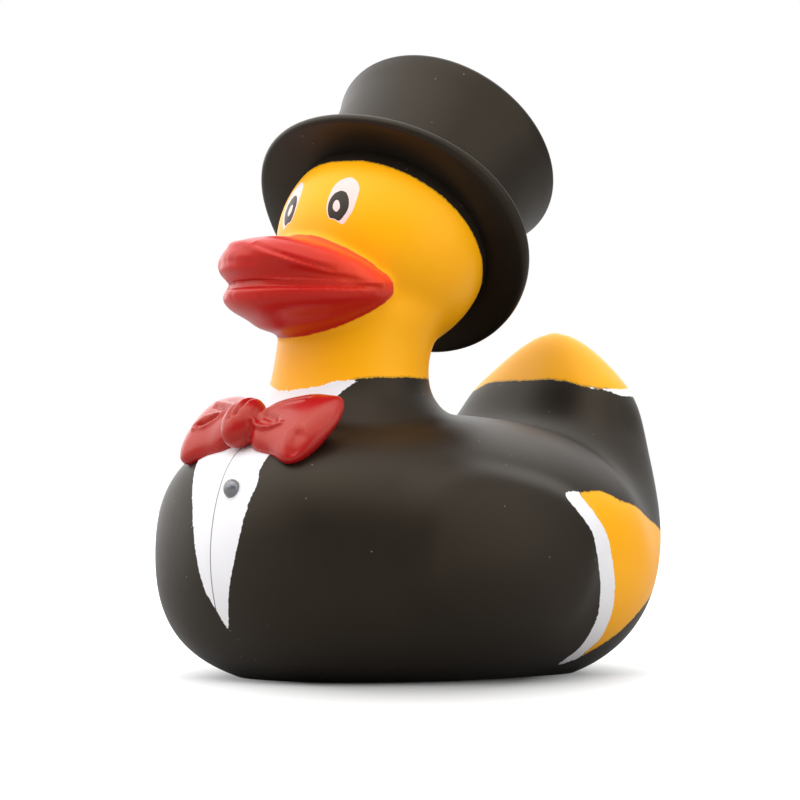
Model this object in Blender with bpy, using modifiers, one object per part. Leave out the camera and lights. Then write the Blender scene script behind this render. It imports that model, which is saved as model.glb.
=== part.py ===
"""A squeaky vinyl duck in a tail coat, bow tie and top hat, standing on its flat base.

The duck is one hollow moulded shell. A squeaker is pressed into a hole in its base.
Metres, +Z up. The duck faces -Y and its left side is +X.
"""

import math

import bmesh
import bpy
from mathutils import Matrix, Vector
from mathutils.bvhtree import BVHTree

# Vinyl shell
WALL = 0.0022
FIT_GAP = 0.0003

# Body: a full egg that stands on its cut-off underside, and runs up into the tail
BODY_HALF_WIDTH = 0.0334
CHEST_FRONT = 0.0383
BODY_MIDDLE_HEIGHT = 0.0182
BODY_HALF_HEIGHT = 0.0210
BODY_SQUARENESS = 2.4
# Chest to rump: share of the chest's reach, then shares of the half width and half height
CHEST_SECTIONS = (
    (1.00, 0.00, 0.00),
    (0.91, 0.45, 0.62),
    (0.67, 0.75, 0.88),
    (0.28, 0.96, 0.99),
    (-0.15, 1.00, 1.00),
)
# Tail: each row is y, z, half width, half thickness and the lean of the section in degrees
TAIL_SECTIONS = (
    (0.0205, 0.0188, 0.0308, 0.0200, 12),
    (0.0292, 0.0252, 0.0245, 0.0160, 40),
    (0.0330, 0.0354, 0.0188, 0.0105, 66),
    (0.0347, 0.0448, 0.0134, 0.0069, 80),
    (0.0352, 0.0530, 0.0000, 0.0000, 90),
)

# Wings: a low relief on each flank, with a rounded front and a slope down to the tail
WING_MIDDLE_Y = -0.0084
WING_MIDDLE_HEIGHT = 0.0180
WING_HALF_LENGTH = 0.0186
WING_HALF_HEIGHT = 0.0140
WING_SLOPE = math.radians(13)
WING_SQUARENESS = 2.8
WING_RELIEF = 0.0011
WING_EDGE = 0.0045
WING_FOOT = 0.0040
# The relief fades where the skin's normal turns away from the side between these two shares
WING_FACING = (0.1, 0.5)

# Head
HEAD_RADIUS = 0.0161
HEAD_HEIGHT = 0.0642
HEAD_CENTRE = Vector((0, -0.0037, HEAD_HEIGHT))

# Neck: each row is y, a share of the way up and the share of the radius. It rises out of the chest
NECK_RADIUS = 0.0116
NECK_FOOT = 0.0210
NECK_TOP = HEAD_HEIGHT + 0.0024
NECK_SECTIONS = (
    (-0.0080, 0.000, 0.00),
    (-0.0090, 0.175, 1.65),
    (-0.0102, 0.342, 1.40),
    (-0.0107, 0.460, 1.06),
    (-0.0097, 0.605, 1.00),
    (-0.0067, 0.759, 1.10),
    (-0.0042, 0.912, 0.90),
    (-0.0037, 1.000, 0.00),
)

# Bill: two lips that stand out from the head and meet at its corners. It points a little to the right
BILL_TURN = math.radians(-5)
BILL_REACH = 0.0126
BILL_CORNER_ANGLE = math.radians(57)
BILL_CORNER_HEIGHT = HEAD_HEIGHT - 0.0071
BILL_CORNER_STAND_OUT = 0.0004
BILL_CORNER_SHARE = 0.06
BILL_STATIONS = 24
BILL_SECTION_STEPS = 2
# Each row is a share of the reach and a height over the corner, on the line of the nose
BILL_SECTION = (
    (-0.40, 0.0092),
    (0.15, 0.0079),
    (0.50, 0.0077),
    (0.70, 0.0075),
    (0.87, 0.0069),
    (0.98, 0.0056),
    (1.03, 0.0040),
    (0.97, 0.0023),
    (0.81, 0.0011),
    (0.90, 0.0001),
    (0.96, -0.0010),
    (0.93, -0.0022),
    (0.82, -0.0034),
    (0.60, -0.0048),
    (0.36, -0.0063),
    (-0.40, -0.0071),
)
BILL_TOP_FADE = 0.9
BILL_UNDERSIDE_FADE = 0.8

# Top hat, worn on the back of the head and leaning a little to the right
HAT_TILT = math.radians(49)
HAT_TURN = math.radians(11)
HAT_RISE = 0.0043
HAT_SHIFT = Vector((-0.0004, -0.0004, 0))
BRIM_RADIUS = 0.0223
BRIM_HALF_THICKNESS = 0.0010
BRIM_CURL = 0.0015
CROWN_FOOT_RADIUS = 0.0153
CROWN_TOP_RADIUS = 0.0182
CROWN_HEIGHT = 0.0211
CROWN_EDGE = 0.0012
HAT_STEPS = 56

# Bow tie: it lies back on the slope of the chest
BOW_HEIGHT = 0.0350
BOW_LEAN = math.radians(45)
KNOT_HALF_WIDTH = 0.0030
KNOT_HALF_HEIGHT = 0.0043
KNOT_HALF_THICKNESS = 0.0030
KNOT_RISE = -0.0003
KNOT_STAND_OUT = 0.0036
BOW_SINK = 0.0011
# Each row is the way out to the side, the rise, the stand-out, the half height and the half thickness
LOBE_SECTIONS = (
    (0.0008, 0.0006, 0.0012, 0.0000, 0.0000),
    (0.0028, 0.0008, 0.0016, 0.0034, 0.0024),
    (0.0070, 0.0015, 0.0011, 0.0057, 0.0026),
    (0.0109, 0.0009, 0.0009, 0.0066, 0.0025),
    (0.0132, 0.0018, 0.0007, 0.0052, 0.0016),
    (0.0146, 0.0030, 0.0005, 0.0000, 0.0000),
)

# Button
BUTTON_RADIUS = 0.0014
BUTTON_PLACE = (0.0026, 0.0278)

# Squeaker: a turned plastic plug with a whistle bore, flush with the base
SQUEAKER_RADIUS = 0.0052
SQUEAKER_LENGTH = 0.0080
SQUEAKER_FLANGE_RADIUS = 0.0074
SQUEAKER_FLANGE = 0.0010
SQUEAKER_BORE_RADIUS = 0.0012
SQUEAKER_STEPS = 32

# Clay: how finely the soft forms are fused, smoothed and thinned out
CLAY_GRAIN = 0.0010
CLAY_SMOOTHING = 10
SKIN_KEPT = 0.092
CAVITY_GRAIN = 0.0020
CAVITY_KEPT = 0.16
# Pressing the inset form into one again swells it, so it is set in by this much more
CAVITY_SWELL = 0.0006
LOFT_SIDES = 40

# Paint
COAT_BLACK = (0.017, 0.013, 0.012, 1)
DUCK_YELLOW = (1.0, 0.40, 0.0, 1)
LIP_RED = (0.48, 0.02, 0.02, 1)
SHIRT_WHITE = (0.85, 0.85, 0.86, 1)
BUTTON_GREY = (0.06, 0.06, 0.07, 1)
SQUEAKER_WHITE = (0.80, 0.79, 0.75, 1)

# Edges of the paint on the body
COLLAR_HEIGHT = 0.0440
COLLAR_SLOPE = 0.12
TAIL_CAP_HEIGHT = 0.0446
COAT_BACK_EDGE = 0.0095
COAT_TAIL_HEIGHT = 0.0240
SHIRT_HALF_WIDTH = 0.0065
SHIRT_TOP = 0.0330
SHIRT_TIP = 0.0095


def clear_scene():
    for obj in list(bpy.data.objects):
        bpy.data.objects.remove(obj)


def collection(name):
    found = bpy.data.collections.new(name)
    bpy.context.scene.collection.children.link(found)
    return found


def paint(name, colour, roughness, metallic=0.0):
    material = bpy.data.materials.new(name)
    material.use_nodes = True
    shader = material.node_tree.nodes["Principled BSDF"]
    shader.inputs["Base Color"].default_value = colour
    shader.inputs["Roughness"].default_value = roughness
    shader.inputs["Metallic"].default_value = metallic
    return material


def new_object(name, mesh, home):
    obj = bpy.data.objects.new(name, mesh)
    home.objects.link(obj)
    return obj


def blend(before, start, end, after, t):
    """One step along a smooth curve that passes through start and end."""
    slope_in = (end - before) / 2
    slope_out = (after - start) / 2
    rise = end - start
    bend = 3 * rise - 2 * slope_in - slope_out
    twist = slope_in + slope_out - 2 * rise
    return start + slope_in * t + bend * t ** 2 + twist * t ** 3


def along_curve(knots, steps):
    """Points on the smooth curve from the second knot to the last but one."""
    found = []
    for i in range(1, len(knots) - 2):
        for k in range(steps):
            found.append(tuple(blend(*four, k / steps) for four in zip(*knots[i - 1 : i + 3])))
    return [*found, knots[-2]]


def between(rows, steps):
    """Sections between the given ones. A section is a centre and two half axes."""
    first = (rows[1][0], -rows[1][1], -rows[1][2])
    last = (rows[-2][0], -rows[-2][1], -rows[-2][2])
    return along_curve([first, *rows, last], steps)


def finer(points, steps):
    """Points along a smooth curve through the given ones."""
    return along_curve([points[0], *points, points[-1]], steps)


def rounded(turn, squareness):
    """A point on a unit circle that is pushed out towards a square."""
    reach = (abs(math.cos(turn)) ** squareness + abs(math.sin(turn)) ** squareness) ** (-1 / squareness)
    return reach * math.cos(turn), reach * math.sin(turn)


def loft(name, rows, home, squareness=2.0, steps=4, sides=LOFT_SIDES):
    """A closed form through sections, which starts and ends in a point."""
    bm = bmesh.new()
    rings = []
    for centre, across, along in between(rows, steps):
        if across.length < 1e-6:
            rings.append([bm.verts.new(centre)] * sides)
            continue
        points = [rounded(2 * math.pi * k / sides, squareness) for k in range(sides)]
        rings.append([bm.verts.new(centre + across * u + along * v) for u, v in points])
    for low, high in zip(rings, rings[1:]):
        for k in range(sides):
            n = (k + 1) % sides
            bm.faces.new(dict.fromkeys((low[k], high[k], high[n], low[n])))
    bmesh.ops.recalc_face_normals(bm, faces=bm.faces)
    mesh = bpy.data.meshes.new(name)
    bm.to_mesh(mesh)
    bm.free()
    return new_object(name, mesh, home)


def ball(name, centre, radii, home, turn=None, rings=24):
    bm = bmesh.new()
    place = Matrix.Translation(centre) @ (turn or Matrix()) @ Matrix.Diagonal((*radii, 1))
    bmesh.ops.create_uvsphere(bm, u_segments=2 * rings, v_segments=rings, radius=1, matrix=place)
    mesh = bpy.data.meshes.new(name)
    bm.to_mesh(mesh)
    bm.free()
    return new_object(name, mesh, home)


def turned(name, profile, home, steps=HAT_STEPS):
    """A profile of radius and height, outer side from top to bottom, spun round Z."""
    mesh = bpy.data.meshes.new(name)
    edges = [(i, i + 1) for i in range(len(profile) - 1)]
    mesh.from_pydata([(radius, 0, height) for radius, height in profile], edges, [])
    obj = new_object(name, mesh, home)
    screw = obj.modifiers.new("turn", "SCREW")
    screw.steps = screw.render_steps = steps
    screw.use_merge_vertices = True
    screw.merge_threshold = 0.00001
    apply_modifiers(obj)
    return obj


def apply_modifiers(obj):
    graph = bpy.context.evaluated_depsgraph_get()
    mesh = bpy.data.meshes.new_from_object(obj.evaluated_get(graph))
    obj.modifiers.clear()
    obj.data = mesh


def combine(obj, other, operation):
    """Boolean the other body into this one, and keep both bodies' paint."""
    cut = obj.modifiers.new(operation.lower(), "BOOLEAN")
    cut.operation = operation
    cut.object = other
    cut.material_mode = "TRANSFER"
    apply_modifiers(obj)
    bpy.data.objects.remove(other)


def fuse(name, forms, home, grain, smoothing):
    """Forms that overlap, pressed into one soft skin."""
    bm = bmesh.new()
    for form in forms:
        bm.from_mesh(form.data)
    mesh = bpy.data.meshes.new(name)
    bm.to_mesh(mesh)
    bm.free()
    obj = new_object(name, mesh, home)
    remesh = obj.modifiers.new("fuse", "REMESH")
    remesh.mode = "VOXEL"
    remesh.voxel_size = grain
    smooth = obj.modifiers.new("smooth", "SMOOTH")
    smooth.factor = 0.5
    smooth.iterations = smoothing
    apply_modifiers(obj)
    return obj


def thin_out(obj, kept):
    decimate = obj.modifiers.new("thin out", "DECIMATE")
    decimate.ratio = kept
    decimate.use_collapse_triangulate = True
    apply_modifiers(obj)


def cut_level(obj, height):
    """Cut the form off flat at a height, and close it there."""
    bm = bmesh.new()
    bm.from_mesh(obj.data)
    everything = [*bm.verts, *bm.edges, *bm.faces]
    cut = bmesh.ops.bisect_plane(
        bm, geom=everything, plane_co=(0, 0, height), plane_no=(0, 0, 1), clear_inner=True
    )
    rim = [edge for edge in cut["geom_cut"] if isinstance(edge, bmesh.types.BMEdge)]
    bmesh.ops.holes_fill(bm, edges=rim, sides=0)
    bmesh.ops.recalc_face_normals(bm, faces=bm.faces)
    bm.to_mesh(obj.data)
    bm.free()


def body_rows():
    """Sections from the chest to the tail's tip."""
    rows = []
    for reach, width, height in CHEST_SECTIONS:
        centre = Vector((0, -CHEST_FRONT * reach, BODY_MIDDLE_HEIGHT))
        across = Vector((BODY_HALF_WIDTH * width, 0, 0))
        rows.append((centre, across, Vector((0, 0, BODY_HALF_HEIGHT * height))))
    for y, z, half_width, half_thickness, lean in TAIL_SECTIONS:
        lean = math.radians(lean)
        along = Vector((0, -math.sin(lean), math.cos(lean))) * half_thickness
        rows.append((Vector((0, y, z)), Vector((half_width, 0, 0)), along))
    return rows


def neck_rows():
    rows = []
    for y, way_up, share in NECK_SECTIONS:
        z = NECK_FOOT + (NECK_TOP - NECK_FOOT) * way_up
        radius = NECK_RADIUS * share
        rows.append((Vector((0, y, z)), Vector((radius, 0, 0)), Vector((0, radius, 0))))
    return rows


def clay_forms(home):
    return [
        loft("body", body_rows(), home, BODY_SQUARENESS),
        loft("neck", neck_rows(), home),
        ball("head", HEAD_CENTRE, (HEAD_RADIUS,) * 3, home),
    ]


def ramp(value, start, end):
    """0 up to start, 1 from end on, and a smooth rise between them."""
    share = min(max((value - start) / (end - start), 0), 1)
    return share * share * (3 - 2 * share)


def wing_share(y, z):
    """How much of the wing's relief stands at a place on the flank."""
    back = y - WING_MIDDLE_Y
    up = z - WING_MIDDLE_HEIGHT
    along = (back * math.cos(WING_SLOPE) - up * math.sin(WING_SLOPE)) / WING_HALF_LENGTH
    across = (up * math.cos(WING_SLOPE) + back * math.sin(WING_SLOPE)) / WING_HALF_HEIGHT
    reach = (abs(along) ** WING_SQUARENESS + abs(across) ** WING_SQUARENESS) ** (1 / WING_SQUARENESS)
    return ramp((1 - reach) * WING_HALF_HEIGHT, 0, WING_EDGE) * ramp(z, WING_FOOT, WING_MIDDLE_HEIGHT)


def raise_wings(skin):
    """Push the flanks out where the wings are."""
    normals = [vert.normal.copy() for vert in skin.data.vertices]
    for vert, normal in zip(skin.data.vertices, normals):
        share = wing_share(vert.co.y, vert.co.z) * ramp(abs(normal.x), *WING_FACING)
        vert.co += normal * WING_RELIEF * share


def hat_place():
    """The middle of the brim, with Z along the crown."""
    turn = Matrix.Rotation(HAT_TURN, 4, "Z") @ Matrix.Rotation(-HAT_TILT, 4, "X")
    return Matrix.Translation(HEAD_CENTRE + HAT_SHIFT) @ turn @ Matrix.Translation((0, 0, HAT_RISE))


def crown_profile():
    flare = CROWN_TOP_RADIUS - CROWN_FOOT_RADIUS
    profile = [(0, CROWN_HEIGHT)]
    for step in range(5):
        turn = math.radians(90 - 22.5 * step)
        radius = CROWN_TOP_RADIUS - CROWN_EDGE + CROWN_EDGE * math.cos(turn)
        profile.append((radius, CROWN_HEIGHT - CROWN_EDGE + CROWN_EDGE * math.sin(turn)))
    for share in (0.7, 0.4, 0.15):
        profile.append((CROWN_FOOT_RADIUS + flare * share ** 1.5, CROWN_HEIGHT * share))
    return profile


def paint_index(place):
    """0 for bare yellow, 1 for the coat, 2 for the shirt."""
    if place.y < HEAD_CENTRE.y:
        if place.z > COLLAR_HEIGHT + COLLAR_SLOPE * (place.y - NECK_SECTIONS[3][0]):
            return 0
        open_share = (place.z - SHIRT_TIP) / (SHIRT_TOP - SHIRT_TIP)
        return 2 if 0 < open_share < 1 and abs(place.x) < SHIRT_HALF_WIDTH * open_share else 1
    on_rump = place.y > COAT_BACK_EDGE and place.z < COAT_TAIL_HEIGHT
    return 0 if on_rump or place.z > TAIL_CAP_HEIGHT else 1


def paint_skin(skin, materials):
    for material in materials:
        skin.data.materials.append(material)
    for face in skin.data.polygons:
        face.material_index = paint_index(face.center)


def top_hat(home, material):
    half = BRIM_HALF_THICKNESS
    profile = crown_profile()
    profile.append((CROWN_FOOT_RADIUS, half + 0.0008))
    profile.append((CROWN_FOOT_RADIUS + 0.0008, half))
    middle = (CROWN_FOOT_RADIUS + BRIM_RADIUS) / 2
    profile.append((middle, half))
    for step in range(7):
        turn = math.radians(90 - 30 * step)
        profile.append((BRIM_RADIUS - half + half * math.cos(turn), half * math.sin(turn)))
    profile.append((middle, -half))
    profile.append((CROWN_FOOT_RADIUS - 0.001, -half))
    profile.append((0, -half))
    hat = turned("top_hat", profile, home)
    start = CROWN_FOOT_RADIUS + 0.0008
    for vert in hat.data.vertices:
        out = (math.hypot(vert.co.x, vert.co.y) - start) / (BRIM_RADIUS - start)
        if out > 0 and vert.co.z < 2 * half:
            round_the_brim = math.atan2(vert.co.y, vert.co.x)
            vert.co.z += BRIM_CURL * out ** 1.5 * math.cos(2 * round_the_brim)
    hat.data.transform(hat_place())
    hat.data.materials.append(material)
    return hat


def bill(home, material):
    """The bill's section, swept round the head from corner to corner and fading out there."""
    bm = bmesh.new()
    rings = []
    section = finer(BILL_SECTION, BILL_SECTION_STEPS)
    below_head = HEAD_CENTRE.z - BILL_CORNER_HEIGHT
    corner = math.sqrt(HEAD_RADIUS ** 2 - below_head ** 2) + BILL_CORNER_STAND_OUT
    for station in range(BILL_STATIONS + 1):
        way = 2 * station / BILL_STATIONS - 1
        turn = BILL_TURN + BILL_CORNER_ANGLE * way
        share = math.cos(math.pi / 2 * way)
        ring = []
        for reach, rise in section:
            fade = share ** (BILL_TOP_FADE if rise > 0 else BILL_UNDERSIDE_FADE)
            height = BILL_CORNER_HEIGHT + rise * (BILL_CORNER_SHARE + (1 - BILL_CORNER_SHARE) * fade)
            out = corner + BILL_REACH * reach * (share if reach > 0 else 1)
            spot = Vector((out * math.sin(turn), HEAD_CENTRE.y - out * math.cos(turn), height))
            ring.append(bm.verts.new(spot))
        rings.append(ring)
    count = len(section)
    for left, right in zip(rings, rings[1:]):
        for k in range(count):
            n = (k + 1) % count
            bm.faces.new((left[k], right[k], right[n], left[n]))
    bm.faces.new(rings[0])
    bm.faces.new(rings[-1])
    bmesh.ops.recalc_face_normals(bm, faces=bm.faces)
    mesh = bpy.data.meshes.new("bill")
    bm.to_mesh(mesh)
    bm.free()
    obj = new_object("bill", mesh, home)
    obj.data.materials.append(material)
    return obj


def front_of(skin, x, z):
    """The point on the chest, straight behind a spot in front of the duck."""
    tree = BVHTree.FromObject(skin, bpy.context.evaluated_depsgraph_get())
    hit = tree.ray_cast(Vector((x, -4 * CHEST_FRONT, z)), Vector((0, 1, 0)))
    return hit[0]


def bow_tie(skin, home, material):
    """The knot and its two lobes, made upright and then leant back on the chest."""
    knot_radii = (KNOT_HALF_WIDTH, KNOT_HALF_THICKNESS, KNOT_HALF_HEIGHT)
    pieces = [ball("knot", Vector((0, -KNOT_STAND_OUT, KNOT_RISE)), knot_radii, home, rings=14)]
    for side in (-1, 1):
        rows = []
        for x, rise, stand_out, half_height, half_thickness in LOBE_SECTIONS:
            centre = Vector((side * x, -stand_out, rise))
            rows.append((centre, Vector((0, 0, half_height)), Vector((0, half_thickness, 0))))
        pieces.append(loft("lobe", rows, home, steps=4, sides=20))
    bow = pieces[0]
    for piece in pieces:
        piece.data.materials.append(material)
    for piece in pieces[1:]:
        combine(bow, piece, "UNION")
    lean = Matrix.Rotation(-BOW_LEAN, 4, "X")
    seat = front_of(skin, 0, BOW_HEIGHT) + Vector((0, BOW_SINK, 0))
    bow.data.transform(Matrix.Translation(seat) @ lean)
    return bow


def button(skin, home, material):
    x, z = BUTTON_PLACE
    place = front_of(skin, x, z)
    stud = ball("button", place, (BUTTON_RADIUS, BUTTON_RADIUS * 0.8, BUTTON_RADIUS), home, rings=8)
    stud.data.materials.append(material)
    return stud


def cavity(skin, home):
    """The inside of the shell, a wall's thickness in from the skin and the crown."""
    crown = turned("crown", [*crown_profile(), (CROWN_FOOT_RADIUS, -HAT_RISE), (0, -HAT_RISE)], home, 32)
    crown.data.transform(hat_place())
    hollow = fuse("cavity", [skin, crown], home, CAVITY_GRAIN, 4)
    bpy.data.objects.remove(crown)
    inset = hollow.modifiers.new("inset", "DISPLACE")
    inset.mid_level = 0
    inset.strength = -WALL - CAVITY_SWELL
    apply_modifiers(hollow)
    again = fuse("hollow", [hollow], home, CAVITY_GRAIN, 2)
    bpy.data.objects.remove(hollow)
    thin_out(again, CAVITY_KEPT)
    cut_level(again, WALL)
    return again


def squeaker_seat(home):
    """What the squeaker needs cut out of the base: its barrel and its flange."""
    barrel = SQUEAKER_RADIUS + FIT_GAP
    flange = SQUEAKER_FLANGE_RADIUS + FIT_GAP
    depth = SQUEAKER_FLANGE + 2 * FIT_GAP
    below = -WALL
    above = 2.4 * WALL
    barrel_side = [(0, above), (barrel, above), (barrel, depth)]
    flange_side = [(flange, depth), (flange, below), (0, below)]
    return turned("seat", barrel_side + flange_side, home, SQUEAKER_STEPS)


def squeaker(home, material):
    bore = SQUEAKER_BORE_RADIUS
    low = FIT_GAP
    top = low + SQUEAKER_LENGTH
    shoulder = low + SQUEAKER_FLANGE
    profile = [
        (bore, top),
        (SQUEAKER_RADIUS - 0.0008, top),
        (SQUEAKER_RADIUS, top - 0.0008),
        (SQUEAKER_RADIUS, shoulder),
        (SQUEAKER_FLANGE_RADIUS, shoulder),
        (SQUEAKER_FLANGE_RADIUS, low + 0.0003),
        (SQUEAKER_FLANGE_RADIUS - 0.0003, low),
        (bore, low),
        (bore, top),
    ]
    plug = turned("squeaker", profile, home, SQUEAKER_STEPS)
    plug.data.materials.append(material)
    return plug


def stand_on_origin(pieces):
    """Put the middle of the duck's box over the origin."""
    corners = [vert.co for piece in pieces for vert in piece.data.vertices]
    middle_x = (min(c.x for c in corners) + max(c.x for c in corners)) / 2
    middle_y = (min(c.y for c in corners) + max(c.y for c in corners)) / 2
    for piece in pieces:
        piece.data.transform(Matrix.Translation((-middle_x, -middle_y, 0)))


def main():
    clear_scene()
    duck = collection("rubber_duck")
    bench = collection("bench")
    coat = paint("coat_black", COAT_BLACK, 0.55)
    yellow = paint("duck_yellow", DUCK_YELLOW, 0.35)
    red = paint("lip_red", LIP_RED, 0.25)
    grey = paint("button_grey", BUTTON_GREY, 0.2, 0.6)
    white = paint("shirt_white", SHIRT_WHITE, 0.4)
    plain = paint("squeaker_white", SQUEAKER_WHITE, 0.4)

    forms = clay_forms(bench)
    body = fuse("duck_body", forms, duck, CLAY_GRAIN, CLAY_SMOOTHING)
    for form in forms:
        bpy.data.objects.remove(form)
    raise_wings(body)
    hollow = cavity(body, bench)
    thin_out(body, SKIN_KEPT)
    cut_level(body, 0)
    paint_skin(body, (yellow, coat, white))
    bow = bow_tie(body, bench, red)
    stud = button(body, bench, grey)
    combine(body, top_hat(bench, coat), "UNION")
    combine(body, bill(bench, red), "UNION")
    combine(body, bow, "UNION")
    combine(body, stud, "UNION")
    combine(body, hollow, "DIFFERENCE")
    combine(body, squeaker_seat(bench), "DIFFERENCE")
    plug = squeaker(duck, plain)
    stand_on_origin([body, plug])
    bpy.data.collections.remove(bench)


main()
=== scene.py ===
"""Looks of the vinyl duck in a tail coat, bow tie and top hat.

Metres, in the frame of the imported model. Shapes are made on the axis of the squeaker and moved home at the
end. Outlines, folds and distances of paint from its edges are in millimetres. Of two bounds of a fade, the
first is where it has no effect and the second where it is full.
"""

import math

import bpy
import numpy as np
from mathutils import Matrix, Vector
from mathutils.bvhtree import BVHTree


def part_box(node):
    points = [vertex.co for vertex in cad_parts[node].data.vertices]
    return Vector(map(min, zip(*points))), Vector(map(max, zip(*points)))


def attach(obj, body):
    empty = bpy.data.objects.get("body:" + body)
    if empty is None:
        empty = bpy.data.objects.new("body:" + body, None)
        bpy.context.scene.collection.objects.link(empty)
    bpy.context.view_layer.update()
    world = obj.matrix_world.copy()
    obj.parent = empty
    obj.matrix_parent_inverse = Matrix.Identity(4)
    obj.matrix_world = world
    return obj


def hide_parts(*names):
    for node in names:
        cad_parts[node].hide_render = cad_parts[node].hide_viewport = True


MM = 0.001

# Body: a full egg that stands on its cut-off underside, and runs up into the tail
BODY_HALF_WIDTH = 0.0334
CHEST_FRONT = 0.0383
BODY_MIDDLE_HEIGHT = 0.0182
BODY_HALF_HEIGHT = 0.0210
BODY_SQUARENESS = 2.4
# Chest to rump: share of the chest's reach, then shares of the half width and half height
CHEST_SECTIONS = (
    (1.00, 0.00, 0.00),
    (0.91, 0.45, 0.62),
    (0.67, 0.75, 0.88),
    (0.28, 0.96, 0.99),
    (-0.15, 1.00, 1.00),
)
# Tail: each row is y, z, half width, half thickness and the lean of the section in degrees
TAIL_SECTIONS = (
    (0.0205, 0.0188, 0.0308, 0.0200, 12),
    (0.0292, 0.0252, 0.0245, 0.0160, 40),
    (0.0330, 0.0354, 0.0188, 0.0105, 66),
    (0.0347, 0.0448, 0.0134, 0.0069, 80),
    (0.0352, 0.0530, 0.0000, 0.0000, 90),
)

# Wings: a low relief on each flank, where the flank faces the side
WING_MIDDLE_Y = -0.0084
WING_MIDDLE_HEIGHT = 0.0180
WING_HALF_LENGTH = 0.0186
WING_HALF_HEIGHT = 0.0140
WING_SLOPE = math.radians(13)
WING_SQUARENESS = 2.8
WING_RELIEF = 0.0011
WING_EDGE = 0.0045
WING_FOOT = 0.0040
WING_FACING = (0.1, 0.5)

# Neck: each row is y, a share of the way up and the share of the radius
NECK_RADIUS = 0.0116
NECK_FOOT = 0.0210
NECK_TOP = 0.0666
NECK_SECTIONS = (
    (-0.0080, 0.000, 0.00),
    (-0.0090, 0.175, 1.65),
    (-0.0102, 0.342, 1.40),
    (-0.0107, 0.460, 1.06),
    (-0.0097, 0.605, 1.00),
    (-0.0067, 0.759, 1.10),
    (-0.0042, 0.912, 0.90),
    (-0.0037, 1.000, 0.00),
)
HEAD_RADIUS = 0.0161
HEAD_CENTRE = Vector((0, -0.0037, 0.0642))

# Bill: angles are in degrees
BILL_TURN = -5
BILL_REACH = 0.0126
BILL_CORNER_ANGLE = 57
BILL_CORNER_HEIGHT = 0.0571
BILL_CORNER_STAND_OUT = 0.0004
BILL_CORNER_SHARE = 0.06
# Each row is a share of the reach and a height over the corner, on the line of the nose
BILL_SECTION = (
    (-0.40, 0.0092),
    (0.15, 0.0079),
    (0.50, 0.0077),
    (0.70, 0.0075),
    (0.87, 0.0069),
    (0.98, 0.0056),
    (1.03, 0.0040),
    (0.97, 0.0023),
    (0.81, 0.0011),
    (0.90, 0.0001),
    (0.96, -0.0010),
    (0.93, -0.0022),
    (0.82, -0.0034),
    (0.60, -0.0048),
    (0.36, -0.0063),
    (-0.40, -0.0071),
)
BILL_TOP_FADE = 0.9
BILL_UNDERSIDE_FADE = 0.8
BILL_ROOT_SPREAD = 4
# The bill is looked for only in here, in mm. Elsewhere its height over the head counts as NO_BILL
BILL_BACK = -10
BILL_FOOT = 45
BILL_CEILING = 70
BILL_HALF_WIDTH = 17
NO_BILL = -5.0
# A fold is a line, its width and its height. On the bill x is the degrees round the head times this scale
BILL_FOLD_SCALE = 0.45
TOP_RIDGE = ((-4, 63.6), (0, 63.5), (2.6, 62.9), (5, 61.9), (7.7, 60.9), (10.6, 60), (13.4, 59.1), (22, 57.9))
BILL_FOLDS = (
    (TOP_RIDGE, 0.5, 0.34),
    (((3, 63.1), (6.5, 61.9), (9.5, 60.8), (12.1, 60), (14.5, 59.3)), 0.3, -0.26),
    (((2.6, 63.6), (6.5, 62.4), (9.5, 61.4), (12.1, 60.5), (13.6, 60.2)), 0.4, 0.14),
    (((-6, 61), (0, 60.9), (4, 60.2), (8, 59.4), (12, 58.6), (17, 58.1)), 1.0, -0.34),
    (((-6.3, 58.5), (0, 58.6), (3.2, 58.5), (5.5, 58.2), (8.8, 57.9), (22.6, 57.5)), 0.4, 0.42),
    (((-7, 57.4), (5, 57.2), (10.3, 57), (21, 57.1)), 0.32, -0.3),
    (((-4, 56.5), (4.2, 56.5), (13.3, 56.6), (21, 56.6)), 0.5, 0.22),
)
BILL_FOLDS_OVER_HEAD = (0.5, 1.6)

# Top hat
HAT_TILT = math.radians(49)
HAT_TURN = math.radians(11)
HAT_RISE = 0.0043
HAT_SHIFT = Vector((-0.0004, -0.0004, 0))
HAT_SIDES = 160
BRIM_RADIUS = 0.0223
BRIM_HALF_THICKNESS = 0.0010
BRIM_CURL = 0.0015
BRIM_CURL_POWER = 1.5
BRIM_INSET = 0.0010
CROWN_FOOT_RADIUS = 0.0153
CROWN_TOP_RADIUS = 0.0182
CROWN_HEIGHT = 0.0211
CROWN_FLARE_POWER = 1.5
CROWN_EDGE = 0.0012
HAT_FILLET = 0.0008
# Shares of a width or height at which the hat's profile has its points
CROWN_TOP_SHARES = (0.02, 0.3, 0.6, 0.85)
CROWN_SIDE_SHARES = (0.85, 0.7, 0.55, 0.4, 0.3, 0.2, 0.13)
BRIM_TOP_SHARES = (0.25, 0.5, 0.75)
BRIM_UNDER_SHARES = (0.8, 0.6, 0.4, 0.2, 0)
BRIM_MIDDLE_SHARES = (0.6, 0.02)

# Bow tie
BOW_HEIGHT = 0.0350
BOW_SINK = 0.0011
BOW_LEAN = math.radians(45)
KNOT_RADII = Vector((0.0030, 0.0030, 0.0043))
KNOT_RISE = -0.0003
KNOT_STAND_OUT = 0.0036
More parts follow.
